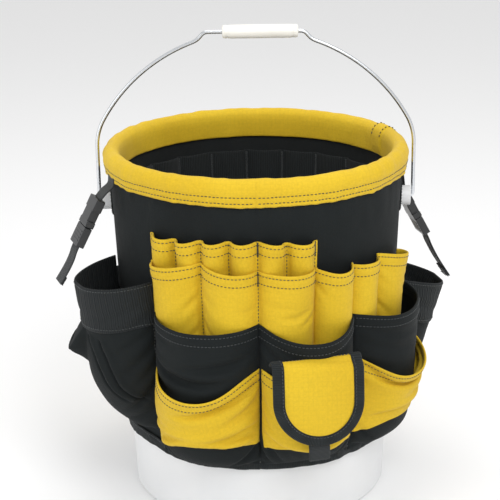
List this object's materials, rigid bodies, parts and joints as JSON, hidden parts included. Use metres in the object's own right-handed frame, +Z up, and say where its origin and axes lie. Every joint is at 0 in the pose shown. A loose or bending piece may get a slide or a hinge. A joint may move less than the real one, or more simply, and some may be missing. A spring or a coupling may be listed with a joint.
{
  "type": "tool bucket organizer",
  "caption": "Round white plastic pail with a wire bail, wearing a yellow and black fabric wrap of tiered open tool pockets, side pouches, a flap pocket and buckled straps.",
  "frame": {"origin": "centre of the pail's flat base, on the surface it stands on", "axes": "+Z up along the pail's axis; -Y towards the front, which has the flap pocket; +X to the right; the bail pivots about an axis along X"},
  "size_m": [0.4196, 0.3869, 0.487],
  "materials": {
    "pail_plastic": "smooth semi-matte polyethylene",
    "yellow_fabric": "tightly woven polyester, slight sheen",
    "black_fabric": "matt woven polyester",
    "binding": "ribbed grosgrain binding tape",
    "elastic": "ribbed elastic",
    "webbing": "woven webbing",
    "zinc_wire": "bright zinc plate",
    "grip_plastic": "moulded, slightly off-white",
    "buckle_plastic": "moulded acetal",
    "hook_and_loop": "fuzzy loop pile"
  },
  "bodies": {
    "organizer": {"pail_shell": "pail_plastic", "rim_cuff": "yellow_fabric", "outer_wrap": "black_fabric", "hem_binding": "binding", "inner_liner": "black_fabric", "inner_elastic_upper": "elastic", "inner_elastic_lower": "elastic", "inner_pocket_panel": "black_fabric", "slot_row_front": "yellow_fabric", "tool_pockets_front": "yellow_fabric", "screwdriver_pocket": "yellow_fabric", "flashlight_pocket": "yellow_fabric", "marker_pocket": "yellow_fabric", "black_pocket_left": "black_fabric", "black_pocket_centre": "black_fabric", "black_pocket_right": "black_fabric", "parts_pocket_left": "yellow_fabric", "flap_pocket": "yellow_fabric", "loop_patch": "hook_and_loop", "parts_pocket_right": "yellow_fabric", "side_pouch_left": "black_fabric", "side_pouch_left_band": "elastic", "side_pouch_right": "black_fabric", "side_pouch_right_band": "elastic", "side_pouch_rear": "black_fabric", "side_pouch_rear_band": "elastic", "tool_pockets_rear": "yellow_fabric", "black_pockets_rear": "black_fabric", "parts_pockets_rear": "yellow_fabric"},
    "bail": {"bail_wire": "zinc_wire"},
    "grip": {"bail_grip": "grip_plastic"},
    "flap": {"flap_panel": "yellow_fabric", "flap_binding": "binding", "flap_hook_patch": "hook_and_loop", "flap_pull_tab": "webbing"},
    "strap_left": {"strap_left_webbing": "webbing", "strap_left_socket": "buckle_plastic"},
    "tail_left": {"strap_left_prongs": "buckle_plastic", "strap_left_tail": "webbing"},
    "strap_right": {"strap_right_webbing": "webbing", "strap_right_socket": "buckle_plastic"},
    "tail_right": {"strap_right_prongs": "buckle_plastic", "strap_right_tail": "webbing"}
  },
  "joints": [
    {"name": "bail_hinge", "type": "hinge", "parent": "organizer", "child": "bail", "pos_m": [0, 0, 0.308], "axis": [-1, 0, 0], "range_deg": [-60, 90]},
    {"name": "grip_spin", "type": "hinge", "parent": "bail", "child": "grip", "pos_m": [0.006, 0, 0.48], "axis": [1, 0, 0], "continuous": true},
    {"name": "flap_hinge", "type": "hinge", "parent": "organizer", "child": "flap", "pos_m": [0.05428, -0.17215, 0.2001], "axis": [-0.9537, -0.3007, 0], "range_deg": [0, 100]},
    {"name": "strap_left_swing", "type": "hinge", "parent": "organizer", "child": "strap_left", "pos_m": [-0.14434, -0.05253, 0.338], "axis": [-0.342, 0.9397, 0], "range_deg": [0, 45]},
    {"name": "strap_right_swing", "type": "hinge", "parent": "organizer", "child": "strap_right", "pos_m": [0.14837, 0.03975, 0.338], "axis": [-0.2588, 0.9659, 0], "range_deg": [-45, 0]},
    {"name": "buckle_left_release", "type": "slide", "parent": "strap_left", "child": "tail_left", "axis": [-0.4484, -0.1632, -0.8788], "range_m": [0, 0.026]},
    {"name": "buckle_right_release", "type": "slide", "parent": "strap_right", "child": "tail_right", "axis": [0.4624, 0.1239, -0.878], "range_m": [0, 0.026]}
  ]
}
